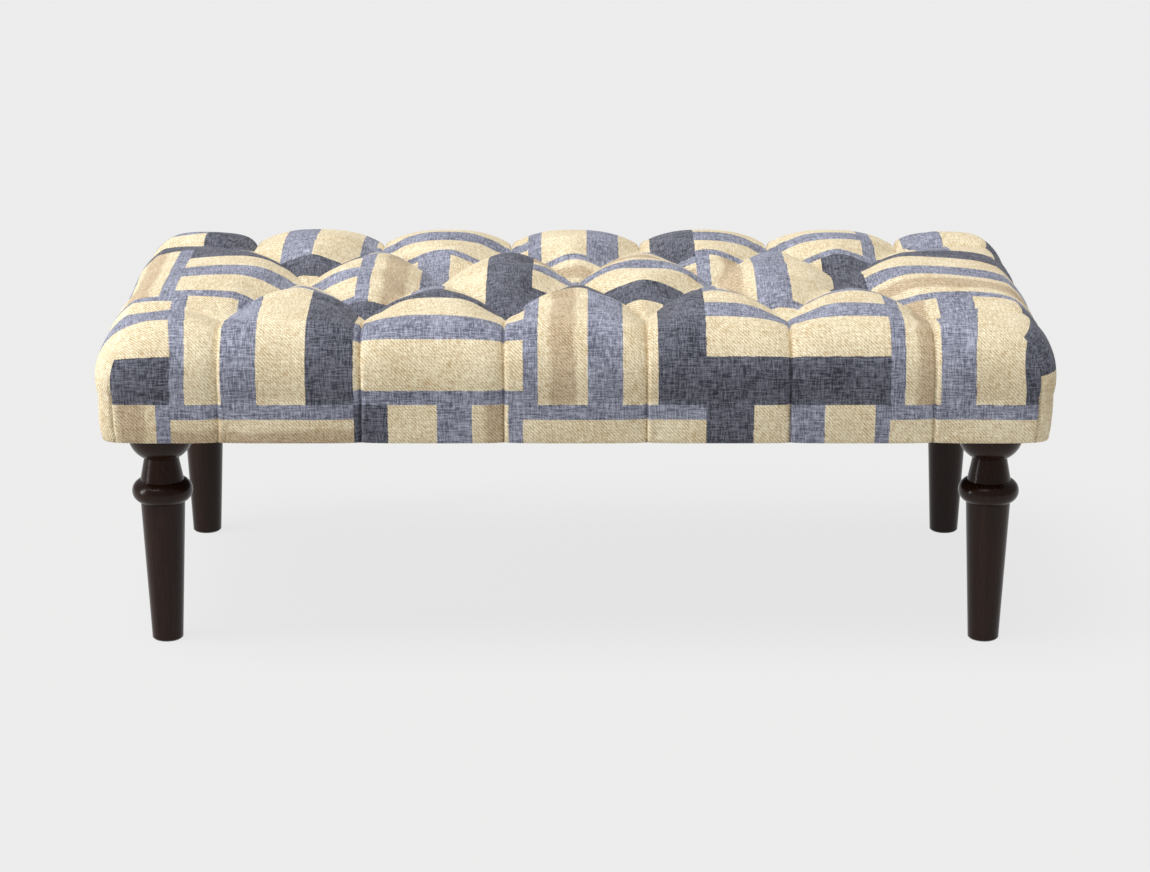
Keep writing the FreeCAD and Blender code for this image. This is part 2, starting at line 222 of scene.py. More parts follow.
def makeLinen(s):
    f = Finish("printedLinen")
    lay = f.node("UVMap", {"uv_map": "fabricLay"})[0]
    u, v = f.split(lay)[:2]
    warp = f.noise(f.join(u * s["threadAcross"], v * s["threadAlong"]), 1.0, 2.0, 0.6)
    weft = f.noise(f.join(u * s["threadAlong"] + 7.3, v * s["threadAcross"]), 1.0, 2.0, 0.6)
    slubs = f.noise(f.join(u * s["slubAlong"] + 3.1, v * s["slubAcross"]), 1.0, 1.0)
    ends = f.noise(f.join(u * s["slubAcross"], v * s["slubAlong"] + 5.7), 1.0, 1.0)
    twill = f.noise(f.join((u - v) * s["twill"][0], (u + v) * s["twill"][1]), 1.0, 1.0)
    cloud = f.noise(lay, s["cloud"], 3.0, 0.55)
    # blocks of bars, every other one turned, some the other way about
    pu = u + (warp - 0.5) * s["ragged"] + s["start"][0]
    pv = v + (weft - 0.5) * s["ragged"] + s["start"][1]
    bu, bv = pu / s["block"], pv / s["block"]
    iu, iv = bu.floor(), bv.floor()
    turned = (iu + iv) % 2.0
    across = bu.fract() * turned + bv.fract() * (1 - turned)
    toss = f.node("TexWhiteNoise", {"noise_dimensions": "2D"}, {"Vector": f.join(iu, iv)})[0]
    swap = toss > 0.5
    across = across * (1 - swap) + (1 - across) * swap
    deep = f.ramp(across, [(at, s[name][0]) for at, name in s["bars"]], "CONSTANT")
    pale = f.ramp(across, [(at, s[name][1]) for at, name in s["bars"]], "CONSTANT")
    plain = f.ramp(across, [(at, (float(name == "cream"),) * 3) for at, name in s["bars"]], "CONSTANT")
    plain = f.node("RGBToBW", {}, {"Color": plain})[0]
    # soft tan shade along one cream bar, in some blocks
    offBar = (across + (cloud - 0.5) * 0.06 - s["faded"]).abs()
    fade = 1 - f.spread(offBar, s["fadedWide"] * 0.75, s["fadedWide"] * 1.2)
    fade = fade * plain * ((toss * 7.0).fract() > s["unfaded"])
    deep = f.mix(fade, deep, s["tan"][0])
    pale = f.mix(fade, pale, s["tan"][1])
    cross = f.spread(warp, 0.36, 0.64) * 0.5 + f.spread(weft, 0.36, 0.64) * 0.5
    bright = f.spread(warp, 0.4, 0.78) * 0.5 + f.spread(weft, 0.4, 0.78) * 0.5
    slub = f.spread(slubs, 0.3, 0.7) * 0.5 + f.spread(ends, 0.3, 0.7) * 0.5
    rib = waves(u + v + (cloud - 0.5) * 0.004, s["rib"]) * 0.5 + 0.5
    hatch = f.spread(twill, 0.36, 0.64) * 0.5 + rib * 0.5
    dyedTone = bright * 0.85 + slub * 0.24 + hatch * 0.1
    plainTone = hatch * 0.54 + cross * 0.44 + slub * 0.16 - 0.07
    tone = dyedTone * (1 - plain) + plainTone * plain
    tone = ((tone - 0.5) * s["contrast"] + 0.5 + (cloud - 0.5) * s["cloudy"]).clamp()
    height = cross * 0.7 + hatch * 0.3
    return f.set({"Base Color": f.mix(tone, deep, pale), "Normal": f.bump(height, *s["bump"]),
                  "Sheen Weight": 0.06, "Sheen Roughness": 0.5, "Roughness": 0.95 - tone * 0.14}).material


# dark turned wood under satin lacquer

lacquer = {
    "deep": (0.0105, 0.0036, 0.0018), "warm": (0.031, 0.0115, 0.0062), "pore": (0.004, 0.0015, 0.0008),
    "gloss": 0.2, "specular": 0.2,
}


def makeLacquer(s):
    f = Finish("espressoLacquer", **{"Specular IOR Level": s["specular"]})
    where = f.place("Object")
    grain = f.noise(f.stretched(where, 260.0, 260.0, 10.0), 1.0, 5.0, 0.62, 0.25)
    pores = f.noise(f.stretched(where, 900.0, 900.0, 30.0), 1.0, 2.0, 0.5)
    streak = f.noise(f.stretched(where, 46.0, 46.0, 3.0), 1.0, 2.0)
    tone = f.spread(grain, 0.32, 0.7) * 0.62 + f.spread(streak, 0.3, 0.7) * 0.38
    colour = f.mix(tone, s["deep"], s["warm"])
    colour = f.mix(f.spread(pores, 0.58, 0.68) * 0.7, colour, s["pore"])
    return f.set({"Base Color": colour, "Roughness": s["gloss"] + tone * 0.08,
                  "Normal": f.bump(grain * 0.6 + pores * 0.4, 0.08, 0.0004)}).material


# hidden stuff: softwood, ply, metal, plastic, twine, foam, wadding and dust cloth

pitches = {"plies": 0.0048, "twist": 0.0026, "bondDots": 0.0042}   # metres


def makeTimber(name, pale, dark, along, ringScale):
    f = Finish(name)
    where = f.place("Object")
    x, y, z = (3.0, 60.0, 60.0) if along == "x" else (60.0, 3.0, 60.0)
    grain = f.noise(f.stretched(where, x, y, z), ringScale, 4.0, 0.6, 0.6)
    fine = f.noise(f.stretched(where, x * 9, y * 9, z * 9), 1.0, 2.0)
    tone = f.spread(grain, 0.32, 0.68) * 0.75 + fine * 0.25
    return f.set({"Base Color": f.mix(tone, pale, dark), "Roughness": 0.5 + tone * 0.25,
                  "Normal": f.bump(tone, 0.15, 0.0006)}).material


def makePlywood():
    f = Finish("birchPly")
    where = f.place("Object")
    z = f.split(where)[2]
    face = f.noise(f.stretched(where, 2.5, 42.0, 42.0), 1.0, 4.0, 0.6, 0.5)
    plies = (waves(z, pitches["plies"]) > 0.0) * 0.35
    tone = (f.spread(face, 0.3, 0.7) * 0.65 + plies).clamp()
    return f.set({"Base Color": f.mix(tone, (0.62, 0.43, 0.25), (0.36, 0.21, 0.10)),
                  "Roughness": 0.55 + tone * 0.2, "Normal": f.bump(tone, 0.1, 0.0005)}).material


def makeZinc():
    f = Finish("zincSteel", Metallic=1.0)
    where = f.place("Object")
    spangle = f.noise(where, 900.0, 3.0, 0.6)
    scuff = f.noise(f.stretched(where, 300.0, 300.0, 2600.0), 1.0, 2.0)
    tone = f.spread(spangle, 0.3, 0.7) * 0.6 + scuff * 0.4
    return f.set({"Base Color": f.mix(tone, (0.56, 0.57, 0.58), (0.36, 0.37, 0.39)),
                  "Roughness": 0.25 + tone * 0.25, "Normal": f.bump(scuff, 0.08, 0.0002)}).material


def makeWasherPlastic():
    f = Finish("washerNylon", **{"Specular IOR Level": 0.45})
    skin = f.noise(f.place("Object"), 1400.0, 3.0, 0.6)
    return f.set({"Base Color": f.mix(f.spread(skin, 0.3, 0.7), (0.82, 0.82, 0.80), (0.71, 0.71, 0.69)),
                  "Roughness": 0.38 + skin * 0.2, "Normal": f.bump(skin, 0.2, 0.0002)}).material


def makeTwine():
    f = Finish("flaxTwine")
    where = f.place("Object")
    x, y, z = f.split(where)
    twist = waves(z + x * 0.8 + y * 0.8, pitches["twist"]) * 0.5 + 0.5
    hair = f.noise(where, 2500.0, 2.0)
    tone = twist * 0.6 + hair * 0.4
    return f.set({"Base Color": f.mix(tone, (0.48, 0.42, 0.32), (0.80, 0.75, 0.65)),
                  "Roughness": 0.95 - tone * 0.1, "Normal": f.bump(tone, 0.6, 0.0005)}).material


def makeFoam():
    f = Finish("seatFoam")
    where = f.place("Object")
    cells = f.node("TexVoronoi", {"feature": "F1"}, {"Vector": where, "Scale": 650.0})[0]
    age = f.noise(where, 9.0, 3.0)
    colour = f.mix(f.spread(age, 0.35, 0.7), (0.80, 0.74, 0.55), (0.72, 0.62, 0.38))
    colour = f.mix(f.spread(cells, 0.35, 0.75) * 0.4, colour, (0.45, 0.38, 0.22))
    return f.set({"Base Color": colour, "Roughness": 0.9 + cells * 0.1,
                  "Normal": f.bump(cells, 0.5, 0.0008)}).material


def makeWadding():
    f = Finish("polyesterWadding")
    where = f.place("Object")
    fluff = f.noise(where, 160.0, 6.0, 0.7, 1.5)
    fibres = f.noise(f.stretched(where, 700.0, 90.0, 240.0), 1.0, 3.0, 0.6, 0.8)
    tone = fluff * 0.6 + fibres * 0.4
    return f.set({"Base Color": f.mix(f.spread(tone, 0.35, 0.65), (0.66, 0.66, 0.65), (0.86, 0.86, 0.85)),
                  "Roughness": 0.92 + tone * 0.08, "Normal": f.bump(tone, 0.6, 0.002)}).material


def makeDustCloth():
    f = Finish("blackNonWoven")
    where = f.place("Object")
    x, y = f.split(where)[:2]
    dots = waves(x, pitches["bondDots"]) * waves(y, pitches["bondDots"]) > 0.45
    fibres = f.noise(f.stretched(where, 620.0, 260.0, 400.0), 1.0, 4.0, 0.65, 1.0)
    colour = f.mix(f.spread(fibres, 0.3, 0.7), (0.010, 0.010, 0.011), (0.030, 0.030, 0.032))
    colour = f.mix(dots * 0.5, colour, (0.007, 0.007, 0.008))
    return f.set({"Base Color": colour, "Roughness": 0.86 - dots * 0.2,
                  "Normal": f.bump(fibres * 0.7 - dots * 0.5, 0.35, 0.0006)}).material


finishes = {
    "linen": makeLinen(linen), "lacquer": makeLacquer(lacquer),
    "pineX": makeTimber("pineAlong", (0.66, 0.45, 0.24), (0.45, 0.26, 0.11), "x", 1.0),
    "pineY": makeTimber("pineAcross", (0.64, 0.43, 0.22), (0.43, 0.25, 0.10), "y", 1.1),
    "ply": makePlywood(), "zinc": makeZinc(), "nylon": makeWasherPlastic(), "twine": makeTwine(),
    "foam": makeFoam(), "wadding": makeWadding(), "dustCloth": makeDustCloth(),
}
print("finishes made:", len(finishes))


# tufted cover, sizes in millimetres

tufted = {
    "halfLength": 609.5, "halfDepth": 305.0, "columns": 6, "step": 182.0, "lastColumn": 455.0, "rowY": 197.0,
    "crest": 448.4, "pit": 420.4, "creaseRise": 10.0, "frontDome": 163.0, "endDome": 154.5,
    # down the side and under, as (in from the face, height)
    "shoulder": (32.5, 436.0), "sideRound": (5.4, 404.0), "belly": (0.0, 344.0), "hemRound": (0.7, 302.5),
    "hem": (2.7, 285.9), "turnUnder": 45.0, "underZ": 286.2, "underStart": 1.6, "underEase": 2.6,
    # fullness between the creases, with one flat for the front and one for the rear
    "power": 3.0, "valley": 0.3, "uneven": 0.16, "flat": (6.0, 2.8), "endFlat": 12.0, "cornerFlat": 9.0,
    # share of a pleat's depth that is left, from the tuft to the hem
    "frontPleat": (1.0, 0.54, 0.34, 0.12, 0.08, 0.06), "rearPleat": (1.0, 0.80, 0.76, 0.30, 0.16, 0.10),
    "endPleat": (1.0, 0.62, 0.38, 0.20, 0.14, 0.10),
    # folds along the creases, softest beside the tufts
    "foldDepth": 5.2, "foldWidth": 1.45, "foldEdge": 1.3, "softest": 0.12, "topCrisp": 0.34,
    "tuftFold": 0.2, "tuftClear": 16.0, "lip": 0.9, "lipBand": (5.5, 4.0), "tuckRoll": 2.2, "tuckWide": 8.0,
    "endTuck": 0.8, "dragLine": (0.127, 3.0, 6.5),
    # corners and their tucked fold
    "cornerSquare": (2.2, 3.2, 9.0), "cornerGrow": 75.0, "cornerSeam": 17.0,
    "seamTop": 384.0, "seamClose": 40.0, "seamFold": (3.4, 1.8), "seamLip": (1.3, 5.0, 4.5),
    # lay of the fabric
    "stretch": 1.05, "tuck": 18.0, "rowTuck": 16.2, "cornerTuck": 20.0, "parting": (0.9, 0.9),
    # rays round each tuft, then slow waves and a sideways sway as (size, seed, share)
    "rays": (7, 11, 0.7), "rayBand": (26.0, 18.0), "rayAbove": 415.0, "rayDepth": 0.45,
    "slowWaves": ((160, 3, 0.9), (60, 6, 0.3)), "sway": ((230, 5, 0.4),), "looseGap": 10.0, "hemFree": 6.0,
    "moodSeed": 11, "raySeed": 4,
    # mesh
    "cells": 34, "cornerCells": 18, "crowd": 0.62,
    "topRows": 18, "sideRows": 16, "hemRows": 10, "underRows": 6,
}


def smooth(t):
    t = np.clip(t, 0.0, 1.0)
    return t * t * (3 - 2 * t)


def arcThrough(a, b, c, count):
    (ax, ay), (bx, by), (cx, cy) = a, b, c
    d = 2 * (ax * (by - cy) + bx * (cy - ay) + cx * (ay - by))
    ux = ((ax**2 + ay**2) * (by - cy) + (bx**2 + by**2) * (cy - ay) + (cx**2 + cy**2) * (ay - by)) / d
    uy = ((ax**2 + ay**2) * (cx - bx) + (bx**2 + by**2) * (ax - cx) + (cx**2 + cy**2) * (bx - ax)) / d
    r = math.hypot(ax - ux, ay - uy)
    angles = np.unwrap([math.atan2(p[1] - uy, p[0] - ux) for p in (a, b, c)])
    turn = np.linspace(angles[0], angles[2], count + 1)
    return ux + r * np.cos(turn), uy + r * np.sin(turn)


def seatProfile(s, start, dome):
    # rows from a tuft line over the shoulder, down the side and under
    inTop = np.linspace(start, s["shoulder"][0], s["topRows"] + 1)
    fall = (s["crest"] - s["shoulder"][1]) / (dome - s["shoulder"][0]) ** 2
    zTop = s["crest"] - fall * np.maximum(dome - inTop, 0) ** 2
    inSide, zSide = arcThrough(s["shoulder"], s["sideRound"], s["belly"], s["sideRows"])
    inHem, zHem = arcThrough(s["belly"], s["hemRound"], s["hem"], s["hemRows"])
    t = np.linspace(0, 1, s["underRows"] + 1)[1:]
    inUnder = s["hem"][0] + s["underStart"] + (s["turnUnder"] - s["underStart"]) * t ** 2
    zUnder = s["underZ"] + (s["hem"][1] - s["underZ"]) * np.exp(-(inUnder - s["hem"][0]) / s["underEase"])
    inward = np.concatenate([inTop, inSide[1:], inHem[1:], inUnder])
    height = np.concatenate([zTop, zSide[1:], zHem[1:], zUnder])
    length = np.concatenate([[0], np.cumsum(np.hypot(np.diff(inward), np.diff(height)))])
    return inward, height, length


def pleatShare(s, shares):
    # how deep a pleat is at each row, from the tuft to the hem
    rows = s["topRows"], s["sideRows"], s["hemRows"], s["underRows"]
    knots = [0, rows[0] * 0.55, rows[0], rows[0] + rows[1] * 0.5, rows[0] + rows[1], sum(rows[:3]), sum(rows)]
    return np.interp(np.arange(sum(rows) + 1), knots, [*shares, 0.0])


def crowded(count, s):
    t = np.linspace(0, 1, count + 1)
    return t - s["crowd"] * np.sin(2 * math.pi * t) / (2 * math.pi)


class Cloth:
    # grid patches joined where they meet, with the lay of the fabric kept per corner
    def __init__(self):
        self.points, self.values, self.faces, self.lays, self.count = [], [], [], [], 0

    def patch(self, xyz, values, lays, split=False, flip=False, pick=None):
        rows, cols = xyz.shape[:2]
        ids = self.count + np.arange(rows * cols).reshape(rows, cols)
        self.points.append(xyz.reshape(-1, 3))
        self.values.append(values.reshape(rows * cols, -1))
        self.count += rows * cols
        for i in range(rows - 1):
            for j in range(cols - 1):
                ring = [(i, j), (i, j + 1), (i + 1, j + 1), (i + 1, j)]
                if split and i == j:
                    rings = [([ring[0], ring[1], ring[2]], 0), ([ring[0], ring[2], ring[3]], 1)]
                elif split:
                    rings = [(ring, 0 if j > i else 1)]
                else:
                    rings = [(ring, 0 if pick is None else pick(i, j))]
                for corners, which in rings:
                    corners = corners[::-1] if flip else corners
                    self.faces.append([ids[c] for c in corners])
                    self.lays.append([lays[which][c] for c in corners])


def columnX(s, i):
    return -s["lastColumn"] + i * s["step"]


def tuftSpots(s):
    spots = []
    for i in range(s["columns"]):
        x = columnX(s, i)
        spots += [(x, -s["rowY"]), (x, s["rowY"])]
        if i < s["columns"] - 1:
            spots.append((x + s["step"] / 2, 0.0))
    return spots


noSeam = 99.0   # further off than any fold reaches


def tuftedCloth(s, detail=1.0):
    cells, corner = max(4, round(s["cells"] * detail)), max(4, round(s["cornerCells"] * detail))
    s = {**s, **{k: max(3, round(s[k] * detail)) for k in ("topRows", "sideRows", "hemRows", "underRows")}}
    cloth = Cloth()
    rng = np.random.default_rng(s["moodSeed"])
    half, rowY, m, c = s["step"] / 2, s["rowY"], s["power"], s["valley"]
    inF, zF, runF = seatProfile(s, s["halfDepth"] - rowY, s["frontDome"])
    inE, zE, runE = seatProfile(s, s["halfLength"] - s["lastColumn"], s["endDome"])
    rows = len(inF)
    tuftBase = zF[0]
    depth = tuftBase - s["pit"]
    pleatE = depth * pleatShare(s, s["endPleat"])
    pleatF = {-1: depth * pleatShare(s, s["frontPleat"]), 1: depth * pleatShare(s, s["rearPleat"])}
    r = np.arange(rows)
    settle = 1 - smooth(r / s["topRows"])
    lowered = smooth(r / (s["topRows"] + s["sideRows"] * 0.6))
    crisp = s["softest"] + (1 - s["softest"]) * smooth((r - 1) / (s["topRows"] * 0.7))
    fall = (s["crest"] - s["shoulder"][1]) / (s["frontDome"] - s["shoulder"][0]) ** 2
    k, pitch = s["stretch"], s["step"] * s["stretch"] + s["tuck"]
    rowV = rowY * k + s["rowTuck"]
    across = crowded(cells, s)
    reach = half * rowY / math.hypot(half, rowY)
    mood = 1 + s["uneven"] * rng.uniform(-1, 1, (4, s["columns"] + 2))

    def domed(y):
        return s["crest"] - fall * np.maximum(np.abs(y) - (s["halfDepth"] - s["frontDome"]), 0) ** 2

    def hump(t):
        # nothing at a crease, one at the crown, with a rounded valley
        rise = 1 - np.clip(np.abs(t), 0, 1) ** m
        return (np.sqrt(rise ** 2 + c * c) - c) / (math.sqrt(1 + c * c) - c)

    def face(t, low, sharp):
        # bulge between two pleats, flatter further down
        return hump(t) ** 2 * (1 - low) + (1 - np.clip(np.abs(t), 0, 1) ** sharp) * low

    def creaseZ(p, q):
        return s["pit"] + s["creaseRise"] * (1 - p * p * q * q)

    def tags(x, down=0, up=0, gap=0, fold=0, crease=0, qx=0, qy=0, lean=0, seam=noSeam):
        return np.stack([np.broadcast_to(np.asarray(v, float), x.shape)
                         for v in (down, up, gap, fold, crease, qx, qy, lean, seam)], -1)

    # top: half bays between a column of the outer rows and one of the middle row
    a, b = np.meshgrid(across, across)
    for bay in range(2 * (s["columns"] - 1)):
        fromLeft = bay % 2 == 0
        i, j = (bay + 1) // 2, bay // 2
        column = columnX(s, i)
        middle = column + (half if fromLeft else -half)
        x = column + (a if fromLeft else -a) * half
        for side in (-1, 1):
            y = side * rowY * (1 - b)
            inner = b > a
            px, py = (x - column) / half, y / rowY
            qx, qy = (x - middle) / half, 1 - np.abs(y) / rowY
            p = np.where(inner, px + py, qx + qy)
            q = np.where(inner, px - py, qy - qx)
            base = domed(y)
            bulge = (hump(p) * hump(q)) ** np.where(inner, mood[0, i], mood[side, j])
            crease = np.clip(np.minimum(1 - np.abs(p), 1 - np.abs(q)), 0, 1)
            down = (base - creaseZ(p, q)) * (1 - bulge)
            lean = np.where(inner, 0.0, 1.0)
            sharp = s["softest"] + s["topCrisp"] * smooth(b * 1.4)
            values = tags(x, down, 1, crease * reach, 0, sharp, lean * qx, lean * qy, lean)
            layInner = np.stack([i * pitch + (x - column) * k, y * k], -1)
            layOuter = np.stack([(j + 0.5) * pitch + (x - middle) * k,
                                 side * (rowV - (rowY - np.abs(y)) * k)], -1)
            xyz = np.stack([x, y, base], -1)
            cloth.patch(xyz, values, (layOuter, layInner), split=True, flip=(fromLeft != (side < 0)))

    # front and rear: the same bays from the tufts over the shoulder and down to the hem
    aa, rr = np.meshgrid(across, r)
    low = lowered[rr]
    for bay in range(2 * (s["columns"] - 1)):
        fromLeft = bay % 2 == 0
        j = bay // 2
        column = columnX(s, (bay + 1) // 2)
        middle = column + (half if fromLeft else -half)
        x = column + (aa if fromLeft else -aa) * half
        qx = (x - middle) / half
        weight = (tuftBase - creaseZ(qx, qx)) / depth
        for side in (-1, 1):
            y = side * (s["halfDepth"] - inF[rr])
            bulge = face(qx, low, s["flat"][side > 0]) ** (1 + (mood[side, j] - 1) * settle[rr])
            down = (weight + (1 - weight) * low) * pleatF[side][rr] * (1 - bulge)
            fold = np.sign(qx) * smooth(rr / s["topRows"])
            values = tags(x, down, settle[rr], (1 - np.abs(qx)) * half, fold, crisp[rr],
                          qx, -runF[rr] / rowY, 1)
            lay = np.stack([(j + 0.5) * pitch + (x - middle) * k, side * (rowV + runF[rr])], -1)
            cloth.patch(np.stack([x, y, zF[rr]], -1), values, (lay,), flip=(fromLeft != (side > 0)))

    # both ends between their two pleats
    for end in (-1, 1):
        i = 0 if end < 0 else s["columns"] - 1
        for side in (-1, 1):
            y = side * rowY * (1 - aa)
            x = end * (s["halfLength"] - inE[rr])
            qy = y / rowY
            weight = (domed(y) - creaseZ(qy, qy)) / depth
            bulge = face(qy, low, s["endFlat"]) ** (1 + (mood[0, i] - 1) * settle[rr])
            down = (weight + (1 - weight) * low) * pleatE[rr] * (1 - bulge)
            z = zE[rr] - (s["crest"] - domed(y)) * settle[rr]
            fold = s["endTuck"] * smooth(rr / s["topRows"] * 2)
            values = tags(x, down, settle[rr], (1 - np.abs(qy)) * rowY, fold, crisp[rr])
            lay = np.stack([i * pitch + end * runE[rr], y * k], -1)
            cloth.patch(np.stack([x, y, z], -1), values, (lay,), flip=(end != side))

    # corners fan out from the corner tufts, with a tucked fold down beside the edge
    bend = 0.5 * (1 - s["cornerSeam"] / (s["halfLength"] - s["lastColumn"]))
    few = max(3, corner // 3)
    run = crowded(corner, s) * bend
    turnIn = np.linspace(bend, 0.5, few + 1)[1:]
    t = np.concatenate([run, turnIn, 1 - turnIn[::-1][1:], 1 - run[::-1]])
    tt, rr = np.meshgrid(t, r)
    low = lowered[rr]
    sx, sy = np.minimum(2 * tt, 1), np.minimum(2 - 2 * tt, 1)
    knots = [0, s["topRows"], s["topRows"] + s["sideRows"], rows - 1]
    n = np.interp(rr, knots, [*s["cornerSquare"], s["cornerSquare"][2]])
    rounded = (sx ** n + sy ** n) ** (-1 / n)
    reachX, reachY = s["halfLength"] - inE - s["lastColumn"], s["halfDepth"] - inF - rowY
    blend = smooth(tt)
    for end in (-1, 1):
        i = 0 if end < 0 else s["columns"] - 1
        for side in (-1, 1):
            x = end * (s["lastColumn"] + reachX[rr] * sx * rounded)
            y = side * (rowY + reachY[rr] * sy * rounded)
            zEnd = zE[rr] - (s["crest"] - tuftBase) * settle[rr]
            z = zF[rr] * (1 - blend) + zEnd * blend
            grow = smooth(np.hypot(reachX[rr] * sx, reachY[rr] * sy) * rounded / s["cornerGrow"])
            bulge = face(2 * tt - 1, low, s["cornerFlat"]) * grow
            down = (pleatF[side][rr] * (1 - blend) + pleatE[rr] * blend) * (1 - bulge)
            gap = np.minimum(sx * reachX[rr], sy * reachY[rr])
            fold = np.where(tt < 0.5, -end, -s["endTuck"]) * smooth(rr / s["topRows"] * 1.5)
            seam = np.where(tt < 0.6, (bend - tt) * 2 * (s["halfLength"] - s["lastColumn"]), noSeam)
            values = tags(x, down, settle[rr], gap, fold, crisp[rr], seam=seam)
            # the print lies straight over the corner and parts at the fold
            front = np.stack([i * pitch + end * (s["tuck"] * 0.5 + reachX[rr] * sx * rounded * k),
                              side * (rowV + runF[rr])], -1)
            past = reachY[rr] * sy + reachX[rr] * (1 - sx) * smooth((rr - s["topRows"] * 0.5) / s["topRows"])
            turn = np.stack([i * pitch + end * runE[rr], side * (rowV - s["cornerTuck"] + past * k)], -1)
            over = np.stack([i * pitch + end * (s["tuck"] * 0.5 * (1 - blend) + runE[rr] * sx * rounded),
                             side * (rowV - s["cornerTuck"] * blend + runF[rr] * sy * rounded)], -1)
            parted = smooth((rr / s["topRows"] - s["parting"][0]) / s["parting"][1])[..., None]
            front, turn = over + (front - over) * parted, over + (turn - over) * parted
            cloth.patch(np.stack([x, y, z], -1), values, (front, turn), flip=(end != side),
                        pick=lambda row, col: 0 if col < corner else 1)
    return cloth


weldGrid = 0.01   # points this near are one


def welded(cloth):
    points, values = np.concatenate(cloth.points), np.concatenate(cloth.values)
    grid = np.round(points / weldGrid).astype(np.int64)
    first, where = np.unique(grid, axis=0, return_index=True, return_inverse=True)[1:]
    where = where.reshape(-1)
    faces, lays = [], []
    for face, lay in zip(cloth.faces, cloth.lays):
        ring, kept = [], []
        for v, uv in zip(where[face], lay):
            if v not in ring:
                ring.append(int(v))
                kept.append(uv)
        if len(ring) > 2:
            faces.append(ring)
            lays += kept
    return points[first], values[first], faces, np.array(lays)


def vertexNormals(points, faces):
    tris = np.array([(f[0], f[i], f[i + 1]) for f in faces for i in range(1, len(f) - 1)])
    a, b, c = points[tris[:, 0]], points[tris[:, 1]], points[tris[:, 2]]
    flat = np.cross(b - a, c - a)
    normals = np.zeros_like(points)
    for i in range(3):
        np.add.at(normals, tris[:, i], flat)
    return normals / np.maximum(np.linalg.norm(normals, axis=1, keepdims=True), 1e-12)


def wander(points, size, seed, count=7):
    # slow seeded unevenness
    rng = np.random.default_rng(seed)
    total = np.zeros(len(points))
    for i in range(count):
        way = rng.normal(size=3)
        way /= np.linalg.norm(way) * size * rng.uniform(0.6, 1.5)
        total += np.sin(points @ way * 2 * math.pi + rng.uniform(0, 2 * math.pi))
    return total / count ** 0.5


def unevenness(points, layers):
    return sum(wander(points, size, seed) * share for size, seed, share in layers)


def pulledDown(s, points, values, faces):
    down, upright, gap, fold, crease, qx, qy, lean, seam = values.T
    height = points[:, 2]
    way = vertexNormals(points, faces) * (1 - upright)[:, None] + np.array([0, 0, 1.0]) * upright[:, None]
    way /= np.linalg.norm(way, axis=1, keepdims=True)
    nearest = np.full(len(points), 1e9)
    ripple = np.zeros(len(points))
    rng = np.random.default_rng(s["raySeed"])
    few, many, share = s["rays"]
    rayOut, rayWide = s["rayBand"]
    for tx, ty in tuftSpots(s):
        dx, dy = points[:, 0] - tx, points[:, 1] - ty
        away, turn = np.hypot(dx, dy), np.arctan2(dy, dx)
        nearest = np.minimum(nearest, away)
        rays = np.cos(few * turn + rng.uniform(0, 6)) + share * np.cos(many * turn + rng.uniform(0, 6))
        ripple += rays * np.exp(-((away - rayOut) / rayWide) ** 2) * (height > s["rayAbove"])
    # creases: a narrow fold, rolled in on one side and lipped on the other down the faces
    tucked, lipped = np.maximum(fold, 0), np.maximum(-fold, 0)
    lipOut, lipWide = s["lipBand"]
    nearTuft = s["tuftFold"] + (1 - s["tuftFold"]) * smooth(nearest / s["tuftClear"])
    groove = s["foldDepth"] * crease * np.exp(-(gap / s["foldWidth"]) ** s["foldEdge"]) * nearTuft
    groove += (tucked * s["tuckRoll"] * np.exp(-gap / s["tuckWide"])
               - lipped * s["lip"] * np.exp(-((gap - lipOut) / lipWide) ** 2))
    # the folded corner, open at the hem and closing higher up
    shut = 1 - smooth((height - s["seamTop"] + s["seamClose"]) / s["seamClose"])
    seamDeep, seamNarrow = s["seamFold"]
    seamRise, seamOut, seamWide = s["seamLip"]
    groove += shut * (seamDeep * np.exp(-(seam / seamNarrow) ** 2)
                      - seamRise * (seam > 0) * np.exp(-((seam - seamOut) / seamWide) ** 2))
    groove *= height > s["underZ"] + 1
    # a bowed drag line across each bay, from tuft to tuft
    bow, pull, dragWide = s["dragLine"]
    offLine = (qy - bow * (1 - qx ** 2)) * s["rowY"]
    drag = lean * pull * np.exp(-(offLine / dragWide) ** 2) * (1 - np.abs(qx) ** 6)
    free = height > s["underZ"] + s["hemFree"]
    uneven = unevenness(points, s["slowWaves"])
    loose = (ripple * s["rayDepth"] + uneven) * smooth(gap / s["looseGap"]) * free
    moved = points - way * (down + groove + drag + loose)[:, None]
    moved[:, 0] += unevenness(points, s["sway"]) * free
    return moved


def makeMesh(name, points, faces, lays=None):
    mesh = bpy.data.meshes.new(name)
    mesh.from_pydata((points * mm).tolist(), [], faces)
    if lays is not None:
        layer = mesh.uv_layers.new(name="fabricLay")
        layer.uv.foreach_set("vector", (lays * mm).astype(np.float32).ravel())
    mesh.update()
    piece = bpy.data.objects.new(name, mesh)
    scene.collection.objects.link(piece)
    mesh.shade_smooth()
    return piece


# air pressed into a coarser copy of the sewn cover, held at tufts, pleats and hem

swell = {
    "detail": 0.5, "crowd": 0.45, "frames": 20, "quality": 5, "mass": 0.25, "damping": 2.0,
    "pressure": 4.0, "slack": -0.008, "stiff": 20.0, "shear": 8.0, "bend": 1.6,
    # held near creases out to a gap, low down as (height, rise, share), and beside the corner fold
    "hold": (2.0, 14.0), "lowHold": ((292.0, 26.0, 1.0), (355.0, 70.0, 0.8)), "seamHold": 4.0, "levels": 10,
    "cap": 3.2, "inward": 1.2, "ease": 2,
}


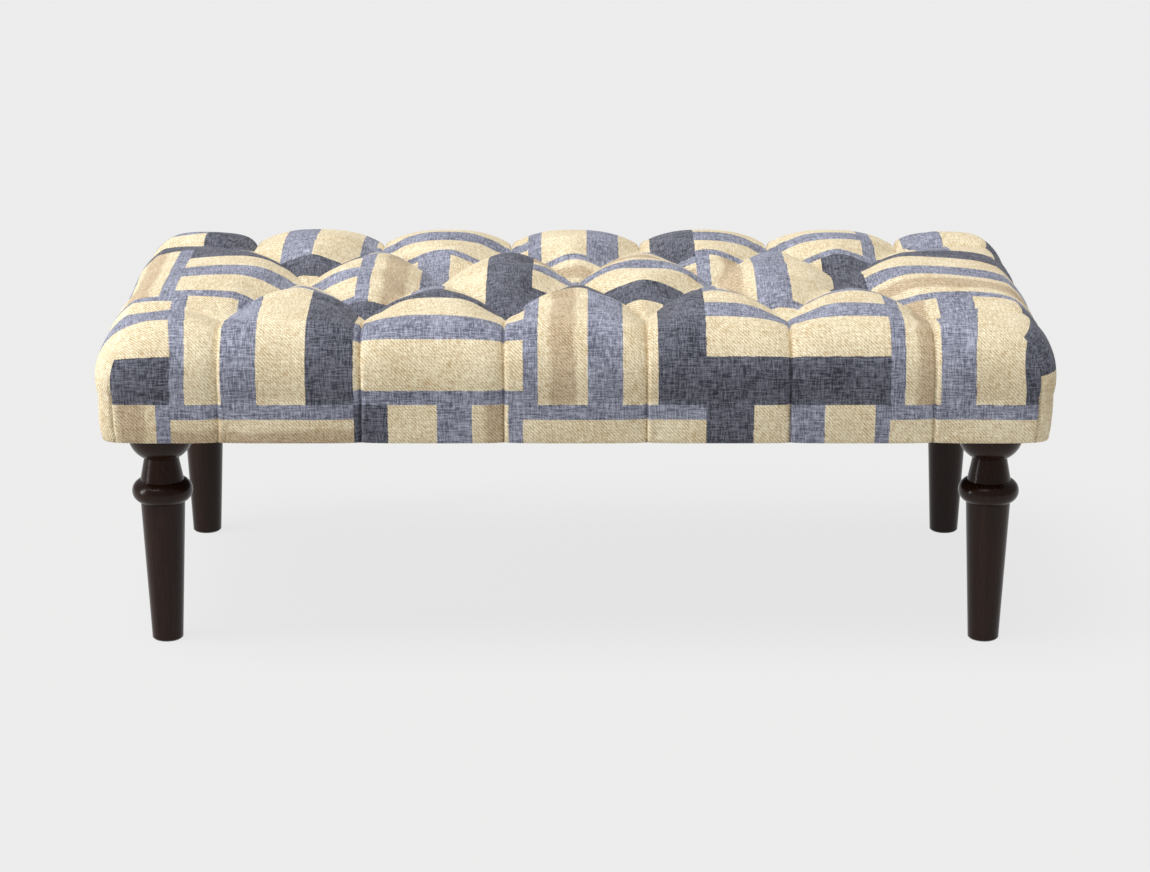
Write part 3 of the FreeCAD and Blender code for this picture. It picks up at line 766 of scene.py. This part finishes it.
def heldShare(points, values, s):
    gap, seam, height = values[:, 2], values[:, 8], points[:, 2]
    held = 1 - smooth((gap - s["hold"][0]) / (s["hold"][1] - s["hold"][0]))
    for start, rise, share in s["lowHold"]:
        held = np.maximum(held, share * (1 - smooth((height - start) / rise)))
    return np.maximum(held, (np.abs(seam) < s["seamHold"]) * (height < tufted["seamTop"]))


def coarseCover(s):
    return welded(tuftedCloth({**tufted, "crowd": s["crowd"]}, s["detail"]))[:3]


def swollen(s):
    points, values, faces = coarseCover(s)
    trial = makeMesh("swellTrial", pulledDown(tufted, points, values, faces), faces)
    level = np.round(heldShare(points, values, s) * s["levels"]).astype(int)
    group = trial.vertex_groups.new(name="held")
    for step in range(1, s["levels"] + 1):
        group.add(np.nonzero(level == step)[0].tolist(), step / s["levels"], "REPLACE")
    work = trial.modifiers.new("swell", "CLOTH")
    work.collision_settings.use_collision = False
    work.point_cache.frame_start, work.point_cache.frame_end = 1, s["frames"]
    cloth = work.settings
    cloth.quality, cloth.mass, cloth.air_damping = s["quality"], s["mass"], s["damping"]
    cloth.tension_stiffness = cloth.compression_stiffness = s["stiff"]
    cloth.shear_stiffness, cloth.bending_stiffness = s["shear"], s["bend"]
    cloth.vertex_group_mass, cloth.pin_stiffness = "held", 1.0
    cloth.use_pressure, cloth.uniform_pressure_force = True, s["pressure"]
    cloth.shrink_min = s["slack"]
    cloth.effector_weights.gravity = 0.0
    before, after = (np.empty(len(points) * 3, np.float32) for i in range(2))
    trial.data.vertices.foreach_get("co", before)
    for frameNumber in range(1, s["frames"] + 1):
        scene.frame_set(frameNumber)
    done = trial.evaluated_get(bpy.context.evaluated_depsgraph_get()).data
    done.vertices.foreach_get("co", after)
    move = (after - before).reshape(-1, 3) / mm
    mesh = trial.data
    bpy.data.objects.remove(trial)
    bpy.data.meshes.remove(mesh)
    scene.frame_set(1)
    # pinches eased, then capped, less inward than outward
    edges = np.array([(a, b) for f in faces for a, b in zip(f, f[1:] + f[:1])])
    edges = np.concatenate([edges, edges[:, ::-1]])
    count = np.bincount(edges[:, 0], minlength=len(points))[:, None]
    for i in range(s["ease"]):
        total = np.zeros_like(move)
        np.add.at(total, edges[:, 0], move[edges[:, 1]])
        move = 0.5 * move + 0.5 * total / count
    way = vertexNormals(points, faces)
    out = np.sum(move * way, axis=1)
    move += way * (np.maximum(out, -s["inward"]) - out)[:, None]
    far = np.maximum(np.linalg.norm(move, axis=1, keepdims=True), 1e-6)
    print("cover swollen: mean %.2f mm, most %.2f mm before the cap" % (far.mean(), far.max()))
    return points, move * s["cap"] * np.tanh(far / s["cap"]) / far


def carriedOver(points, fromPoints, move, count=4, least=0.05):
    tree = KDTree(len(fromPoints))
    for i, point in enumerate(fromPoints):
        tree.insert(point, i)
    tree.balance()
    carried = np.zeros_like(points)
    for i, point in enumerate(points):
        near = tree.find_n(point, count)
        share = np.array([1 / (away + least) ** 2 for spot, index, away in near])
        carried[i] = share @ move[[index for spot, index, away in near]] / share.sum()
    return carried


def makeCover(s):
    points, values, faces, lays = welded(tuftedCloth(s))
    moved = pulledDown(s, points, values, faces)
    moved += carriedOver(points, *swollen(swell))
    piece = makeMesh("tuftedCover", moved, faces, lays)
    piece.data.materials.append(finishes["linen"])
    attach(piece, "root")
    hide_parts("seat_cover")
    print("cover:", len(moved), "points,", len(faces), "faces")


makeCover(tufted)


# wadding and foam follow the same form further in

innerMesh = {"crowd": 0.2, "detail": 0.35}
inner = {
    "wadding": {"name": "battingWrap", "node": "batting_wrap", "slot": "batting", "fill": 0.8,
                "from": 3.4, "to": 11.5, "above": 300.0},
    "foam": {"name": "seatFoamBlock", "node": "seat_foam", "slot": "foam", "fill": 1.0,
             "from": 15.5, "to": None, "above": 392.0, "floor": 375.0},
}


def rimOf(faces):
    ways = {(a, b) for f in faces for a, b in zip(f, f[1:] + f[:1])}
    return [(a, b) for a, b in ways if (b, a) not in ways]


def makeInner(finish, s):
    points, values, faces = coarseCover(innerMesh)
    way = vertexNormals(points, faces)
    moved = pulledDown(tufted, points, values, faces)
    faces = [f for f in faces if points[f, 2].min() > s["above"]]
    outside = moved - way * s["from"]
    rim = rimOf(faces)
    count = len(points)
    edge = [[b, a, a + count, b + count] for a, b in rim]
    if s["to"]:
        inside = moved - way * s["to"]
        faces = faces + [[v + count for v in f[::-1]] for f in faces] + edge
        allPoints = np.concatenate([outside, inside])
    else:
        foot = outside.copy()
        foot[:, 2] = s["floor"]
        allPoints = np.concatenate([outside, foot])
        after = {b: a for a, b in rim}
        loop = [rim[0][0]]
        while after[loop[-1]] != loop[0]:
            loop.append(after[loop[-1]])
        faces = faces + edge + [[v + count for v in loop]]
    used = sorted({v for f in faces for v in f})
    new = {v: i for i, v in enumerate(used)}
    piece = makeMesh(s["name"], allPoints[used], [[new[v] for v in f] for f in faces])
    piece.data.materials.append(finishes[finish])
    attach(piece, "root")
    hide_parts(s["node"])
    print(s["name"], len(used), "points")


for finish, sizes in inner.items():
    makeInner(finish, sizes)


# dust cloth stapled under the frame

underCloth = {
    "halfX": 587.5, "halfY": 283.0, "top": 285.9, "sag": 1.6, "slack": 0.3, "cells": (96, 46),
    "crinkle": ((120, 8, 0.35), (45, 9, 0.15)),   # size, seed, share
    "staplePitch": 75.0, "pucker": (0.2, 22.0), "legs": (537.0, 232.5), "legClear": (46.0, 40.0),
}


def makeUnderCloth(s):
    nx, ny = s["cells"]
    x, y = np.meshgrid(np.linspace(-1, 1, nx + 1), np.linspace(-1, 1, ny + 1))
    px, py = x * s["halfX"], y * s["halfY"]
    middle = (1 - x ** 4) * (1 - y ** 4)
    flat = np.stack([px, py, np.zeros_like(px)], -1).reshape(-1, 3)
    crinkle = unevenness(flat, s["crinkle"]).reshape(px.shape)
    # edges pucker between the staples, and the cloth lies flat round the legs
    deep, wide = s["pucker"]
    pucker = np.cos(px / s["staplePitch"] * 2 * math.pi) * np.exp(-((s["halfY"] - np.abs(py)) / wide) ** 2)
    pucker += np.cos(py / s["staplePitch"] * 2 * math.pi) * np.exp(-((s["halfX"] - np.abs(px)) / wide) ** 2)
    fromLeg = np.hypot(np.abs(px) - s["legs"][0], np.abs(py) - s["legs"][1])
    hang = s["sag"] * middle + (crinkle + s["slack"]) * middle + deep * (1 + pucker) * (1 - middle)
    z = s["top"] - hang * smooth((fromLeg - s["legClear"][0]) / s["legClear"][1])
    points = np.stack([px, py, z], -1).reshape(-1, 3)
    ids = np.arange(len(points)).reshape(px.shape).tolist()
    faces = [[ids[i][j], ids[i + 1][j], ids[i + 1][j + 1], ids[i][j + 1]]
             for i in range(ny) for j in range(nx)]
    piece = makeMesh("underCloth", points, faces)
    piece.data.materials.append(finishes["dustCloth"])
    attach(piece, "root")
    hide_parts("dust_cover")
    print("under cloth:", len(faces), "faces")


makeUnderCloth(underCloth)


# finishes for the pieces that stay as built

dressed = {
    "lacquer": ["leg_front_left", "leg_front_right", "leg_rear_left", "leg_rear_right"],
    "pineX": ["front_rail", "rear_rail"],
    "pineY": ["left_rail", "right_rail", "left_cross_rail", "right_cross_rail", "corner_block_front_left",
              "corner_block_front_right", "corner_block_rear_left", "corner_block_rear_right"],
    "ply": ["seat_deck"], "nylon": ["tie_washers"], "twine": ["tuft_ties"],
    "zinc": ["hanger_bolts", "tee_nuts", "rail_screws", "corner_block_screws", "deck_screws", "cover_staples",
             "dust_cover_staples"],
}
for finish, nodes in dressed.items():
    for node in nodes:
        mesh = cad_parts[node].data
        mesh.materials.clear()
        mesh.materials.append(finishes[finish])
print("built pieces dressed:", sum(len(n) for n in dressed.values()))


# pale floor, soft light from high on the left

studio = {
    "floor": srgb(212, 211, 209), "paper": srgb(238, 238, 238), "paperShare": 0.89, "size": 16.0,
    "sky": 0.355, "sun": 2.56, "sunWay": (-0.3, -0.16, 1.0), "spread": 44.0,
    "strip": {"size": (0.25, 1.7), "watts": 4.5, "spread": 60.0,
              "at": (-2.8, -0.7, 1.1), "aim": (0.0, 0.0, 0.3)},
}


def makeStudio(s):
    f = Finish("paleFloor", Roughness=0.95, **{"Specular IOR Level": 0.1})
    dust = f.noise(f.place("Object"), 3.0, 2.0)
    f.set({"Base Color": f.mix(dust * 0.02, s["floor"], (0.7, 0.7, 0.7))})
    # the eye sees the paper's own pale shade, with part of the shadow on it
    rays = ("Is Camera Ray", "Is Glossy Ray", "Is Transmission Ray")
    seen = sum(wire for wire in f.node("LightPath") if wire.socket.name in rays)
    paper = f.node("Emission", {}, {"Color": s["paper"], "Strength": 1.0})[0]
    lit = Wire(f, f.body.outputs[0])
    blend = f.node("MixShader", {}, {0: seen.clamp() * s["paperShare"], 1: lit, 2: paper})[0]
    f.plug(f.tree.nodes["Material Output"], "Surface", blend)
    mesh = bpy.data.meshes.new("studioFloor")
    h = s["size"]
    mesh.from_pydata([(-h, -h, 0), (h, -h, 0), (h, h, 0), (-h, h, 0)], [], [(0, 1, 2, 3)])
    floor = bpy.data.objects.new("studioFloor", mesh)
    mesh.materials.append(f.material)
    scene.collection.objects.link(floor)
    world = bpy.data.worlds.new("studioSky")
    world.use_nodes = True
    sky = world.node_tree.nodes["Background"]
    sky.inputs["Color"].default_value = (1.0, 1.0, 1.0, 1.0)
    sky.inputs["Strength"].default_value = s["sky"]
    scene.world = world
    sun = bpy.data.lights.new("softKey", "SUN")
    sun.energy, sun.angle = s["sun"], math.radians(s["spread"])
    lamp = bpy.data.objects.new("softKey", sun)
    lamp.rotation_euler = Vector(s["sunWay"]).to_track_quat("Z", "Y").to_euler()
    scene.collection.objects.link(lamp)
    # tall strip on the left for the gleam on the turnings
    strip = bpy.data.lights.new("sideStrip", "AREA")
    strip.shape, strip.energy = "RECTANGLE", s["strip"]["watts"]
    strip.size, strip.size_y = s["strip"]["size"]
    strip.spread = math.radians(s["strip"]["spread"])
    panel = bpy.data.objects.new("sideStrip", strip)
    panel.location = s["strip"]["at"]
    panel.rotation_euler = (panel.location - Vector(s["strip"]["aim"])).to_track_quat("Z", "Y").to_euler()
    scene.collection.objects.link(panel)
    scene.view_settings.view_transform = "Standard"
    print("studio lit")


makeStudio(studio)

bpy.context.view_layer.update()
